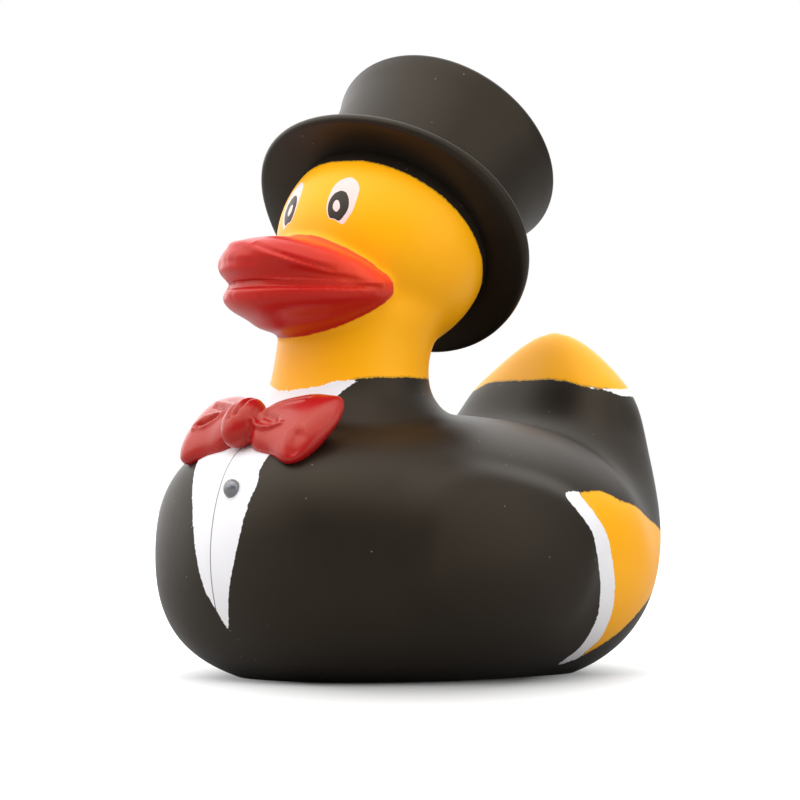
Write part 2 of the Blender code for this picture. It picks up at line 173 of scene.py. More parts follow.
# Each row is the way out to the side, the rise, the stand-out, the half height and the half thickness
LOBE_SECTIONS = (
    (0.0008, 0.0006, 0.0012, 0.0000, 0.0000),
    (0.0028, 0.0006, 0.0016, 0.0041, 0.0025),
    (0.0070, 0.0014, 0.0011, 0.0059, 0.0027),
    (0.0109, 0.0009, 0.0009, 0.0066, 0.0025),
    (0.0132, 0.0018, 0.0007, 0.0052, 0.0016),
    (0.0146, 0.0030, 0.0005, 0.0000, 0.0000),
)
LOBE_FOLDS = (
    (((3.0, 2.3), (5.2, 4.2), (8.6, 5.5)), 0.35, -0.50),
    (((3.4, 1.6), (5.6, 3.3), (8.8, 4.6)), 0.45, 0.22),
    (((4.4, 0.5), (6.0, 0.1)), 0.75, -0.55),
    (((2.9, -0.7), (3.6, -1.3), (5.0, -1.5), (6.5, -1.2), (8.0, -0.6)), 0.40, 0.45),
    (((3.2, -0.1), (4.0, -0.7), (5.4, -0.8), (6.8, -0.5)), 0.28, -0.25),
    (((12.0, -2.2), (12.0, -4.4)), 1.00, -0.40),
    (((-10.8, -0.5), (-9.3, 1.0), (-7.0, 1.5), (-5.4, 1.5)), 0.38, 0.38),
    (((-10.6, -1.2), (-8.2, -1.0), (-6.5, 0.0), (-5.2, 1.0)), 0.38, 0.38),
    (((-9.6, -0.6), (-8.0, 0.2), (-6.4, 0.9)), 0.42, -0.55),
    (((-10.2, 4.6), (-6.6, 3.6), (-4.4, 2.8)), 0.40, 0.30),
    (((-9.4, 3.5), (-6.2, 2.7), (-4.2, 2.0)), 0.35, -0.35),
)
KNOT_FOLDS = (
    (((-1.1, 2.4), (-0.5, -0.2), (0.0, -2.0)), 0.28, -0.45),
    (((0.5, 2.8), (0.9, 0.6), (0.8, -1.2)), 0.28, -0.45),
)
# The knot's folds take over from the lobes' as x nears the middle. All of them fade where the bow faces aside
KNOT_FOLDS_WITHIN = (3.0, 2.4)
BOW_FOLDS_FACING = (0.1, 0.6)

# Button
BUTTON_RADIUS = 0.0014
BUTTON_FLATNESS = 0.8
BUTTON_PLACE = (0.0026, 0.0278)

# Fineness of the meshes, and how often each one is smoothed
CLAY_GRAIN = 0.0008
CLAY_SMOOTHING = 16
SKIN_GRAIN = 0.00056
SKIN_SMOOTHING = 5
BOW_GRAIN = 0.00022
BOW_SMOOTHING = 6
BILL_SMOOTHING = 12
FOLD_SMOOTHING = 2
SMOOTHING_FACTOR = 0.5
SMOOTH_EDGES_UP_TO = math.radians(40)

# Underside
CUT_TOLERANCE = 1e-6
SEAT_RADIUS = 0.0077
SEAT_DEPTH = 0.0100
SEAT_SIDES = 64

# The shirt's seam is a groove down its middle, in front of this place. Its shade is painted on as a thin grey
# line
SEAM_HALF_WIDTH = 0.0001
SEAM_FRONT = -0.0270

# Edges of the paint, in mm. The neck is bare above the collar, whose edge dips in front
COLLAR_HEIGHT = 44.1
COLLAR_BACK = 12
COLLAR_DIP = 1.7
COLLAR_DIP_FROM = -12.7
COLLAR_DIP_TO = -22.5
COLLAR_DIP_LIMIT = 1.2
COLLAR_DIP_POWER = 3
# The tail's tip is bare above this height, lower at its sides, with a white line under it at the rear
TAIL_CAP_HEIGHT = 44.9
TAIL_CAP_FRONT = 15
TAIL_CAP_DROP = 1.5
TAIL_CAP_SIDES = (6, 14)
TAIL_LINE_WIDTH = 1.1
TAIL_LINE_REACH = (29, 34)
# Shirt front, seen from the front: x and z, and only in front of this y
SHIRT_BACK = -14
SHIRT_OUTLINE = (
    (1.7, 7.8),
    (3.1, 12.8),
    (4.4, 16.7),
    (5.6, 21.0),
    (6.3, 25.5),
    (7.0, 28.1),
    (6.6, 32.0),
    (7.0, 38.0),
    (7.8, 41.4),
    (9.5, 43.6),
    (11.5, 46.0),
    (-11.5, 46.0),
    (-9.5, 43.6),
    (-7.8, 41.4),
    (-8.2, 36.0),
    (-8.4, 32.2),
    (-6.0, 27.1),
    (-4.5, 22.9),
    (-3.1, 17.8),
    (-1.5, 13.2),
    (0.6, 9.4),
)
# White piping of the cut-away coat, seen from the side: y and z
PIPING_OUTLINE = (
    (1.3, 26.9),
    (3.1, 23.9),
    (5.2, 21.5),
    (6.3, 18.1),
    (8.2, 14.0),
    (9.4, 10.4),
    (9.9, 7.3),
    (10.0, 4.4),
    (9.3, 1.9),
    (13.5, 3.6),
    (17.0, 9.0),
    (16.0, 18.0),
    (12.0, 25.0),
    (5.4, 27.3),
)
# Bare rump inside the piping, seen from the side
RUMP_OUTLINE = (
    (5.4, 27.0),
    (7.4, 24.2),
    (9.6, 21.5),
    (10.9, 18.3),
    (11.8, 15.2),
    (12.6, 11.7),
    (13.2, 8.6),
    (13.4, 5.7),
    (12.4, 3.0),
    (15.4, 4.7),
    (18.0, 6.6),
    (21.8, 9.4),
    (26.2, 11.6),
    (34.0, 13.4),
    (50.0, 14.0),
    (50.0, 20.6),
    (36.0, 21.2),
    (28.5, 22.9),
    (20.5, 25.2),
    (15.3, 26.2),
    (11.9, 27.4),
    (8.8, 27.6),
)
OUTLINE_STEPS = 5
# The hat's paint ends this far below the brim: the way round the head in degrees, then mm
HAT_PAINT_EDGE = (
    (-180, 2.6),
    (-150, 1.2),
    (-110, 2.2),
    (-70, 3.2),
    (-30, 2.9),
    (0, 3.9),
    (30, 3.6),
    (90, 2.8),
    (180, 2.6),
)
HEAD_PAINT_REACH = 19.0
RED_PAINT_EDGE = 0.4
UNDER_WHITE = 0.6
# The bill turns orange towards the head, where the red is sprayed thin over the yellow, and with the height,
# which is painted light on the bill's lit top
SPRAY_OVER_HEAD = (10.0, 2.0)
LIT_TOP_HEIGHTS = (54.5, 60.0)

# Eyes: the way to each from the head's centre, with 1 for the duck's left side and -1 for its right
EYES = {1: Vector((5.7, -13.9, 5.9)), -1: Vector((-5.6, -13.9, 5.8))}
# Layers of an eye: each place is in mm to the side and up from the eye's middle
EYE_WHITE = (
    (0.4, 4.2),
    (1.5, 3.5),
    (2.2, 2.4),
    (2.3, 1.2),
    (1.9, -1.4),
    (1.2, -2.8),
    (0.4, -3.8),
    (-1.1, -3.0),
    (-1.9, -2.8),
    (-2.5, -1.6),
    (-2.6, 0.1),
    (-2.1, 2.4),
    (-1.1, 3.7),
)
PUPIL = (
    (-0.4, 2.15),
    (0.7, 1.55),
    (1.25, 0.3),
    (1.3, -1.2),
    (0.75, -2.5),
    (-0.1, -3.3),
    (-1.1, -2.9),
    (-1.9, -2.65),
    (-2.35, -1.5),
    (-2.35, 0.1),
    (-1.6, 1.6),
)
HIGHLIGHT = (
    (-0.9, 0.45),
    (-0.25, -0.2),
    (-0.05, -1.3),
    (-0.5, -2.0),
    (-1.05, -1.95),
    (-1.6, -1.25),
    (-1.55, -0.1),
)
EYE_OUTLINE_STEPS = 16
EYE_WHITE_LIFT = 0.00005
PUPIL_LIFT = 0.00008
HIGHLIGHT_LIFT = 0.00011

# Colours as they look, 0 to 255. Two shades in one row are mixed in soft clouds
YELLOW_SHADES = ((255, 171, 0), (255, 180, 4))
BLACK_SHADES = ((24, 19, 15), (33, 27, 22))
RED_SHADES = ((158, 14, 18), (174, 20, 24))
SHIRT_WHITE = (236, 235, 238)
SEAM_SHADE_GREY = (120, 120, 124)
LIP_RED = (186, 26, 23)
LIP_ORANGE = (255, 76, 42)
EYE_WHITE_PINK = (244, 218, 214)
PUPIL_BLACK = (44, 40, 40)
BUTTON_GREY = (128, 130, 134)
SQUEAKER_WHITE = (232, 231, 226)
THIN_BLACK = (96, 96, 22)
DUST_PALE = (112, 104, 96)

# Gloss
SPECULAR = 0.28
SPECULAR_TINT = (1, 0.84, 0.62, 1)
BOW_SPECULAR = 0.5
YELLOW_ROUGHNESS = 0.40
BLACK_ROUGHNESS = (0.38, 0.48)
WHITE_ROUGHNESS = 0.48
LIP_ROUGHNESS = 0.30
BOW_ROUGHNESS = (0.24, 0.32)
EYE_ROUGHNESS = 0.35
BUTTON_ROUGHNESS = 0.18
BUTTON_METALLIC = 0.5
SQUEAKER_ROUGHNESS = 0.42
FLOOR_ROUGHNESS = 0.7

# Sizes of soft clouds in the paint, in mm
YELLOW_CLOUD = 12
BLACK_CLOUD = 9
BLACK_CLOUD_DETAIL = 3
RED_CLOUD = 5
RED_GLOSS_CLOUD = 3
PLAIN_CLOUD = 1.5
PLAIN_GLOSS_CLOUD = 0.8
PLAIN_DARKER = 0.94
PLAIN_ROUGHER = 0.06
# Dust: the size and spacing of its specks in mm, and the share of them that is there
DUST = (0.11, 2.4, 0.45)
# The edges of the paint wander by waves of this size, detail and height, in mm, and are a little soft
EDGE_WAVES = (
    (0.55, 3, 0.55),
    (3.5, 1, 0.5),
)
EDGE_SOFTNESS = 0.10
RED_EDGE_SOFTNESS = 0.12
RED_WANDER = 0.3
# Black paint runs out thinly over the yellow
THIN_REACH = 0.22
THIN_SOFTNESS = 0.20
THIN_SHARE = 0.45
# Relief of the paint: its thickness in metres and its grain
PAINT_THICKNESS = 0.00004
PAINT_GRAIN = 0.6
PAINT_GRAIN_SHARE = 0.12
RED_GRAIN = 0.7
GRAIN_HEIGHT = 0.00002
GRAIN_STRENGTH = 0.4

# Camera
CAMERA_TARGET = Vector((-0.0003, -0.0019, 0.0413))
CAMERA_AZIMUTH = math.radians(45)
CAMERA_ELEVATION = math.radians(-1.7)
CAMERA_DISTANCE = 0.48
CAMERA_LENS = 142.56
CAMERA_SENSOR = 36

# Floor: pale grey by itself, with a glow that only the camera sees, outside an oval round the duck. The grey
# oval without glow is painted shade round the duck, and its cast shadow falls in it
FLOOR_SIZE = 6
FLOOR_GREY = 0.42
FLOOR_GLOW = 0.75
GLOW_TURN = math.radians(45)
GLOW_SHAPE = (0.5, 1.3, 1)
GLOW_START = 0.035
GLOW_END = 0.085
# The world's light goes from dim to bright as it comes closer to this direction
LIGHT_FROM = (-0.72, 0.12, 0.68)
WORLD_FACING = (0.05, 0.8)
WORLD_LIGHT = (0.2, 2.0)
LAMP_SIZE = 0.9
LAMP_DISTANCE = 0.9
# Each lamp has its turn and height in degrees, and its radiance. Left and right are the camera's
LAMPS = (
    ("left_box", -25, 40, 1.0),
    ("right_box", 105, 24, 1.6),
    ("top_box", 45, 60, 1.5),
)


def deselect():
    if bpy.context.object and bpy.context.object.mode != "OBJECT":
        bpy.ops.object.mode_set(mode="OBJECT")
    bpy.ops.object.select_all(action="DESELECT")


def choose(*objects):
    deselect()
    for obj in objects:
        obj.select_set(True)
    bpy.context.view_layer.objects.active = objects[0]


def blend(before, start, end, after, t):
    """The place at t, from 0 to 1, on a smooth curve that runs from start to end."""
    slope_in = (end - before) / 2
    slope_out = (after - start) / 2
    rise = end - start
    bend = 3 * rise - 2 * slope_in - slope_out
    twist = slope_in + slope_out - 2 * rise
    return start + slope_in * t + bend * t ** 2 + twist * t ** 3


def along_curve(knots, share):
    """The place at a share of the way from the second knot to the last but one."""
    way = share * (len(knots) - 3)
    i = min(int(way), len(knots) - 4)
    return tuple(blend(*four, way - i) for four in zip(*knots[i : i + 4]))


def ramp(value, start, end):
    """0 up to start, 1 from end on, and a smooth rise between them. Numbers or arrays."""
    share = np.clip((value - start) / (end - start), 0, 1)
    return share * share * (3 - 2 * share)


def rounded(turn, squareness):
    """A point on a unit circle that is pushed out towards a square."""
    reach = (abs(math.cos(turn)) ** squareness + abs(math.sin(turn)) ** squareness) ** (-1 / squareness)
    return reach * math.cos(turn), reach * math.sin(turn)


def face_outwards(obj):
    choose(obj)
    bpy.ops.object.mode_set(mode="EDIT")
    bpy.ops.mesh.select_all(action="SELECT")
    bpy.ops.mesh.normals_make_consistent(inside=False)
    bpy.ops.object.mode_set(mode="OBJECT")


def moulded(name, shape, segments=96, rings=64):
    """A ball whose points are pushed to where shape(share of the way along, turn) puts them."""
    deselect()
    bpy.ops.mesh.primitive_uv_sphere_add(segments=segments, ring_count=rings, radius=1)
    obj = bpy.context.object
    obj.name = obj.data.name = name
    for vert in obj.data.vertices:
        share = math.acos(min(max(vert.co.z, -1), 1)) / math.pi
        vert.co = shape(share, math.atan2(vert.co.y, vert.co.x))
    face_outwards(obj)
    return obj


def lofted(name, rows, squareness=2.0, **fineness):
    """A closed form through sections. A section is a centre and two half axes."""
    first = (rows[1][0], -rows[1][1], -rows[1][2])
    last = (rows[-2][0], -rows[-2][1], -rows[-2][2])
    knots = [first, *rows, last]

    def shape(share, turn):
        centre, across, along = along_curve(knots, share)
        u, v = rounded(turn, squareness)
        return centre + across * u + along * v

    return moulded(name, shape, **fineness)


def ball(name, centre, radii, **fineness):
    def shape(share, turn):
        out = math.sin(math.pi * share)
        unit = Vector((out * math.cos(turn), out * math.sin(turn), math.cos(math.pi * share)))
        return centre + unit * radii

    return moulded(name, shape, **fineness)


def turned(name, profile, sides):
    """A ring that is extruded through a profile of radius and height, and closed at both ends."""
    deselect()
    radius, height = profile[0]
    bpy.ops.mesh.primitive_circle_add(vertices=sides, radius=radius, location=(0, 0, height))
    obj = bpy.context.object
    obj.name = obj.data.name = name
    bpy.ops.object.transform_apply(location=True)
    bpy.ops.object.mode_set(mode="EDIT")
    bpy.ops.mesh.select_all(action="SELECT")
    for (radius, height), (next_radius, next_height) in zip(profile, profile[1:]):
        bpy.ops.mesh.extrude_region_move()
        grow = next_radius / radius
        bpy.ops.transform.resize(value=(grow, grow, 1), center_override=(0, 0, height))
        bpy.ops.transform.translate(value=(0, 0, next_height - height))
    bpy.ops.mesh.select_all(action="SELECT")
    bpy.ops.mesh.fill_holes(sides=0)
    face_outwards(obj)
    return obj


def finish_with(obj, kind, **settings):
    """Add a modifier with these settings, and apply it."""
    choose(obj)
    modifier = obj.modifiers.new(kind.lower(), kind)
    for key, value in settings.items():
        setattr(modifier, key, value)
    bpy.ops.object.modifier_apply(modifier=modifier.name)


def smoothed(obj, times, **settings):
    finish_with(obj, "SMOOTH", factor=SMOOTHING_FACTOR, iterations=times, **settings)


def fused(name, forms, grain, smoothing):
    """Forms that overlap, pressed into one soft skin."""
    choose(*forms)
    bpy.ops.object.join()
    obj = bpy.context.object
    obj.name = obj.data.name = name
    finish_with(obj, "REMESH", mode="VOXEL", voxel_size=grain)
    smoothed(obj, smoothing)
    return obj


def point_vectors(obj, kind):
    found = np.empty(len(obj.data.vertices) * 3)
    obj.data.vertices.foreach_get(kind, found)
    return found.reshape(-1, 3)


def coordinates(obj):
    return point_vectors(obj, "co")


def normals(obj):
    return point_vectors(obj, "normal")


def place_points(obj, places):
    obj.data.vertices.foreach_set("co", places.ravel())
    obj.data.update()


def store(obj, name, values):
    attribute = obj.data.attributes.new(name, "FLOAT", "POINT")
    attribute.data.foreach_set("value", np.asarray(values, dtype=np.float32))


def body_rows():
    rows = []
    for reach, width, height in CHEST_SECTIONS:
        centre = Vector((0, -CHEST_FRONT * reach, BODY_MIDDLE_HEIGHT))
        across = Vector((BODY_HALF_WIDTH * width, 0, 0))
        rows.append((centre, across, Vector((0, 0, BODY_HALF_HEIGHT * height))))
    for y, z, half_width, half_thickness, lean in TAIL_SECTIONS:
        lean = math.radians(lean)
        along = Vector((0, -math.sin(lean), math.cos(lean))) * half_thickness
        rows.append((Vector((0, y, z)), Vector((half_width, 0, 0)), along))
    return rows


def neck_rows():
    rows = []
    for y, way_up, share in NECK_SECTIONS:
        z = NECK_FOOT + (NECK_TOP - NECK_FOOT) * way_up
        radius = NECK_RADIUS * share
        rows.append((Vector((0, y, z)), Vector((radius, 0, 0)), Vector((0, radius, 0))))
    return rows


def raise_wings(skin):
    """Push the flanks out where the wings are."""
    places = coordinates(skin)
    out = normals(skin)
    back = places[:, 1] - WING_MIDDLE_Y
    up = places[:, 2] - WING_MIDDLE_HEIGHT
    along = (back * math.cos(WING_SLOPE) - up * math.sin(WING_SLOPE)) / WING_HALF_LENGTH
    across = (up * math.cos(WING_SLOPE) + back * math.sin(WING_SLOPE)) / WING_HALF_HEIGHT
    reach = (abs(along) ** WING_SQUARENESS + abs(across) ** WING_SQUARENESS) ** (1 / WING_SQUARENESS)
    share = ramp((1 - reach) * WING_HALF_HEIGHT, 0, WING_EDGE)
    share *= ramp(places[:, 2], WING_FOOT, WING_MIDDLE_HEIGHT) * ramp(abs(out[:, 0]), *WING_FACING)
    place_points(skin, places + out * (WING_RELIEF * share)[:, None])


def clay_body():
    """Body, neck and head, before the bill."""
    forms = [
        lofted("duck_skin", body_rows(), BODY_SQUARENESS, segments=128, rings=120),
        lofted("neck", neck_rows()),
        ball("head", HEAD_CENTRE, Vector((HEAD_RADIUS,) * 3)),
    ]
    clay = fused("duck_skin", forms, CLAY_GRAIN, CLAY_SMOOTHING)
    raise_wings(clay)
    return clay


def bill():
    """The bill's section, swept round the head from corner to corner."""
    below_head = HEAD_CENTRE.z - BILL_CORNER_HEIGHT
    corner = math.sqrt(HEAD_RADIUS ** 2 - below_head ** 2) + BILL_CORNER_STAND_OUT
    section = [BILL_SECTION[-1], *BILL_SECTION, BILL_SECTION[0], BILL_SECTION[1]]

    def shape(share, around):
        turn = math.radians(BILL_TURN + BILL_CORNER_ANGLE * (2 * share - 1))
        size = math.sin(math.pi * share)
        reach, rise = along_curve(section, around / (2 * math.pi) % 1)
        fade = size ** (BILL_TOP_FADE if rise > 0 else BILL_UNDERSIDE_FADE)
        height = BILL_CORNER_HEIGHT + rise * (BILL_CORNER_SHARE + (1 - BILL_CORNER_SHARE) * fade)
        out = corner + BILL_REACH * reach * (size if reach > 0 else min(1, BILL_ROOT_SPREAD * size))
        return Vector((out * math.sin(turn), HEAD_CENTRE.y - out * math.cos(turn), height))

    return moulded("bill", shape, segments=160, rings=96)


def hat_place():
    """The middle of the brim, with Z along the crown."""
    turn = Matrix.Rotation(HAT_TURN, 4, "Z") @ Matrix.Rotation(-HAT_TILT, 4, "X")
    return Matrix.Translation(HEAD_CENTRE + HAT_SHIFT) @ turn @ Matrix.Translation((0, 0, HAT_RISE))


def arc(middle_radius, middle_height, radius, start, end, steps):
    """Points round an arc of the profile, from start to end in degrees."""
    points = []
    for step in range(steps + 1):
        turn = math.radians(start + (end - start) * step / steps)
        points.append((middle_radius + radius * math.cos(turn), middle_height + radius * math.sin(turn)))
    return points


def hat_profile():
    """Rows of radius and height, from the middle of the crown's top round to the middle of the underside."""
    half = BRIM_HALF_THICKNESS
    flare = CROWN_TOP_RADIUS - CROWN_FOOT_RADIUS
    brim_foot = CROWN_FOOT_RADIUS + HAT_FILLET
    brim_width = BRIM_RADIUS - half - CROWN_FOOT_RADIUS - HAT_FILLET
    profile = [(CROWN_TOP_RADIUS * share, CROWN_HEIGHT) for share in CROWN_TOP_SHARES]
    profile += arc(CROWN_TOP_RADIUS - CROWN_EDGE, CROWN_HEIGHT - CROWN_EDGE, CROWN_EDGE, 90, 0, steps=6)
    for share in CROWN_SIDE_SHARES:
        profile.append((CROWN_FOOT_RADIUS + flare * share ** CROWN_FLARE_POWER, CROWN_HEIGHT * share))
    profile += arc(brim_foot, half + HAT_FILLET, HAT_FILLET, 180, 270, steps=4)
    for share in BRIM_TOP_SHARES:
        profile.append((brim_foot + brim_width * share, half))
    profile += arc(BRIM_RADIUS - half, 0, half, 90, -90, steps=10)
    for share in BRIM_UNDER_SHARES:
        profile.append((CROWN_FOOT_RADIUS - BRIM_INSET + (brim_width + 2 * BRIM_INSET) * share, -half))
    profile += [(CROWN_FOOT_RADIUS * share, -half) for share in BRIM_MIDDLE_SHARES]
    return profile


def top_hat():
    """Crown and curled brim."""
    hat = turned("top_hat", hat_profile(), HAT_SIDES)
    places = coordinates(hat)
    start = CROWN_FOOT_RADIUS + HAT_FILLET
    out = (np.hypot(places[:, 0], places[:, 1]) - start) / (BRIM_RADIUS - start)
    out = np.where(places[:, 2] < 2 * BRIM_HALF_THICKNESS, np.clip(out, 0, None), 0)
    saddle = np.cos(2 * np.arctan2(places[:, 1], places[:, 0]))
    places[:, 2] += BRIM_CURL * out ** BRIM_CURL_POWER * saddle
    place_points(hat, places)
    hat.data.transform(hat_place())
    return hat


def away_from(x, z, start, end):
    """Distance of each place from the straight line between two points."""
    dx = end[0] - start[0]
    dz = end[1] - start[1]
    along = np.clip(((x - start[0]) * dx + (z - start[1]) * dz) / (dx * dx + dz * dz), 0, 1)
    return np.hypot(x - start[0] - along * dx, z - start[1] - along * dz)


def fold_heights(x, z, folds):
    """Sum of the folds at each place, all in mm. A fold is a soft ridge or groove along a line."""
    total = np.zeros_like(x)
    for line, width, height in folds:
        nearest = np.min([away_from(x, z, *ends) for ends in zip(line, line[1:])], axis=0)
        total += height * np.exp(-(nearest / width) ** 2)
    return total


def height_over(surface, places):
    """How far each place near the bill stands out from the bare head, in mm, and NO_BILL elsewhere."""
    x, y, z = (places / MM).T
    proud = np.full(len(x), NO_BILL)
    near = (y < BILL_BACK) & (z > BILL_FOOT) & (z < BILL_CEILING) & (abs(x) < BILL_HALF_WIDTH)
    for i in np.flatnonzero(near):
        spot = Vector(places[i])
        foot, out, _, distance = surface.find_nearest(spot)
        proud[i] = math.copysign(distance / MM, (spot - foot).dot(out))
    return proud


def fold_bill(skin, surface):
    """Make the skin of the bill finer, and press the folds of its lips."""
    proud = height_over(surface, coordinates(skin))
    chosen = [max(proud[i] for i in face.vertices) > 0 for face in skin.data.polygons]
    choose(skin)
    bpy.ops.object.mode_set(mode="EDIT")
    bpy.ops.mesh.select_mode(type="FACE")
    bpy.ops.mesh.select_all(action="DESELECT")
    bpy.ops.object.mode_set(mode="OBJECT")
    skin.data.polygons.foreach_set("select", chosen)
    bpy.ops.object.mode_set(mode="EDIT")
    bpy.ops.mesh.subdivide(number_cuts=1)
    bpy.ops.object.mode_set(mode="OBJECT")

    proud = height_over(surface, coordinates(skin))
    group = skin.vertex_groups.new(name="bill")
    group.add(np.flatnonzero(proud > 0).tolist(), 1, "REPLACE")
    smoothed(skin, BILL_SMOOTHING, vertex_group="bill")
    places = coordinates(skin)
    x, y, z = (places / MM).T
    turn = np.degrees(np.arctan2(x, HEAD_CENTRE.y / MM - y)) - BILL_TURN
    heights = fold_heights(turn * BILL_FOLD_SCALE, z, BILL_FOLDS) * ramp(proud, *BILL_FOLDS_OVER_HEAD)
    place_points(skin, places + normals(skin) * (heights * MM)[:, None])
    smoothed(skin, FOLD_SMOOTHING, vertex_group="bill")


def bow_tie(seat):
    """The knot and its two lobes, pressed into folds upright, and then leant back on the chest."""
    forms = [ball("bow_tie", Vector((0, -KNOT_STAND_OUT, KNOT_RISE)), KNOT_RADII)]
    for side in (-1, 1):
        rows = []
        for x, rise, stand_out, half_height, half_thickness in LOBE_SECTIONS:
            centre = Vector((side * x, -stand_out, rise))
            rows.append((centre, Vector((0, 0, half_height)), Vector((0, half_thickness, 0))))
        forms.append(lofted("lobe", rows))
    bow = fused("bow_tie", forms, BOW_GRAIN, BOW_SMOOTHING)
    places = coordinates(bow)
    out = normals(bow)
    x = places[:, 0] / MM
    z = places[:, 2] / MM
    on_knot = ramp(abs(x), *KNOT_FOLDS_WITHIN)
    heights = fold_heights(x, z, LOBE_FOLDS) * (1 - on_knot) + fold_heights(x, z, KNOT_FOLDS) * on_knot
    heights *= ramp(-out[:, 1], *BOW_FOLDS_FACING)
    place_points(bow, places + out * (heights * MM)[:, None])
    smoothed(bow, FOLD_SMOOTHING)
    bow.data.transform(Matrix.Translation(seat) @ Matrix.Rotation(-BOW_LEAN, 4, "X"))
    return bow


def surface_of(obj):
    return BVHTree.FromObject(obj, bpy.context.evaluated_depsgraph_get())


def front_of(surface, x, z):
    """The point on the chest, straight behind a spot in front of the duck."""
    return surface.ray_cast(Vector((x, -4 * CHEST_FRONT, z)), Vector((0, 1, 0)))[0]


def button(surface):
    """A flattened ball, half sunk into the chest."""
    radii = Vector((BUTTON_RADIUS, BUTTON_RADIUS * BUTTON_FLATNESS, BUTTON_RADIUS))
    return ball("shirt_button", front_of(surface, *BUTTON_PLACE), radii, segments=48, rings=32)


def smooth_outline(points, steps):
    """A closed smooth outline through a few points, as an array."""
    knots = [np.array(point, dtype=float) for point in (points[-1], *points, points[0], points[1])]
    found = []
    for i in range(1, len(knots) - 2):
        found += [blend(*knots[i - 1 : i + 3], k / steps) for k in range(steps)]
    return np.array(found)


def inside_by(x, z, points):
    """How far each place lies inside the smooth outline through these points. It is negative outside."""
    outline = smooth_outline(points, OUTLINE_STEPS)
    nearest = np.full(x.shape, np.inf)
    inside = np.zeros(x.shape, dtype=bool)
    for start, end in zip(outline, np.roll(outline, -1, axis=0)):
        nearest = np.minimum(nearest, away_from(x, z, start, end))
        if end[1] != start[1]:
            crossing = start[0] + (end[0] - start[0]) * (z - start[1]) / (end[1] - start[1])
            inside ^= ((start[1] > z) != (end[1] > z)) & (x < crossing)
    return np.where(inside, nearest, -nearest)


def eye_patch(name, surface, outline, side, lift):
    """A thin patch of paint that follows the head."""
    outwards = EYES[side].normalized()
    aside = Vector((0, 0, 1)).cross(outwards).normalized() * side
    up = outwards.cross(aside) * side
    rim = smooth_outline(outline, EYE_OUTLINE_STEPS) * MM
    heart = rim.mean(axis=0)

    def shape(share, turn):
        place = turn / (2 * math.pi) % 1 * len(rim)
        k = int(place) % len(rim)
        edge = rim[k] + (rim[(k + 1) % len(rim)] - rim[k]) * (place - int(place))
        spot = heart + (edge - heart) * math.sin(math.pi * share)
        way = (outwards * HEAD_RADIUS + aside * spot[0] + up * spot[1]).normalized()
        hit = surface.ray_cast(HEAD_CENTRE + way * 2 * HEAD_RADIUS, -way)[0]
        return hit + way * lift * math.cos(math.pi * share)

    return moulded(name, shape, segments=72, rings=24)


def colour(rgb):
    """A colour as it looks, 0 to 255, turned into the shader's linear values."""
    linear = []
    for value in rgb:
        value /= 255
        linear.append(value / 12.92 if value <= 0.04045 else ((value + 0.055) / 1.055) ** 2.4)
    return (*linear, 1)


class Tree:
    """A few short ways to add and join the nodes of a tree."""

    def __init__(self, tree):
        self.nodes = tree.nodes
        self.links = tree.links

    def set(self, socket, value):
        """Put a value or another node's output into a socket."""
        if isinstance(value, bpy.types.NodeSocket):
            self.links.new(value, socket)
        else:
            socket.default_value = value

    def add(self, kind, inputs=None, **settings):
        node = self.nodes.new(kind)
        for key, value in settings.items():
            setattr(node, key, value)
        for key, value in (inputs or {}).items():
            self.set(node.inputs[key], value)
        return node

    def math(self, operation, first, second=0.0, clamp=False):
        node = self.add("ShaderNodeMath", {0: first, 1: second}, operation=operation, use_clamp=clamp)
        return node.outputs[0]

    def map_range(self, value, start, end, low=0.0, high=1.0):
        """Low up to start, high from end on, and a straight line between them."""
        inputs = {0: value, 1: start, 2: end, 3: low, 4: high}
        return self.add("ShaderNodeMapRange", inputs).outputs[0]


class Shader(Tree):
    """The nodes of a new material."""

    def __init__(self, name):
        self.material = bpy.data.materials.new(name)
        self.material.use_nodes = True
        super().__init__(self.material.node_tree)
        self.surface = self.nodes["Principled BSDF"].inputs
        self.surface["Specular IOR Level"].default_value = SPECULAR
        self.surface["Specular Tint"].default_value = SPECULAR_TINT

    def object_place(self):
        return self.add("ShaderNodeTexCoord").outputs["Object"]

    def noise(self, size, detail=2.0):
        """Noise with features of this size in mm."""
        inputs = {"Vector": self.object_place(), "Scale": 1 / (size * MM), "Detail": detail}
        return self.add("ShaderNodeTexNoise", inputs).outputs["Fac"]

    def attribute(self, name):
        return self.add("ShaderNodeAttribute", attribute_name=name).outputs["Fac"]

    def mix(self, share, low, high):
        """Mix two numbers."""
        inputs = {0: share, 2: low, 3: high}
        return self.add("ShaderNodeMix", inputs, data_type="FLOAT").outputs[0]

    def mix_colour(self, share, low, high):
        inputs = {0: share, 6: low, 7: high}
        return self.add("ShaderNodeMix", inputs, data_type="RGBA").outputs[2]

    def edge(self, distance, wander, soft):
        """1 inside a field of paint and 0 outside, with an edge that is a little soft."""
        moved = self.math("ADD", distance, wander)
        return self.math("ADD", self.math("DIVIDE", moved, soft), 0.5, clamp=True)

    def bump(self, height, distance, strength=1.0):
        inputs = {"Height": height, "Distance": distance, "Strength": strength}
        self.set(self.surface["Normal"], self.add("ShaderNodeBump", inputs).outputs[0])

    def dust(self, size, spacing, shown):
        """Sparse pale specks: 1 on a speck and 0 beside it."""
        inputs = {"Vector": self.object_place(), "Scale": 1 / (spacing * MM)}
        cells = self.add("ShaderNodeTexVoronoi", inputs)
        near = self.math("LESS_THAN", cells.outputs["Distance"], size / spacing)
        kept = self.math("LESS_THAN", cells.outputs["Color"], shown)
        return self.math("MULTIPLY", near, kept)

    def finished(self, base, roughness):
        """The material, with this colour and roughness."""
        self.set(self.surface["Base Color"], base)
        self.set(self.surface["Roughness"], roughness)
        return self.material


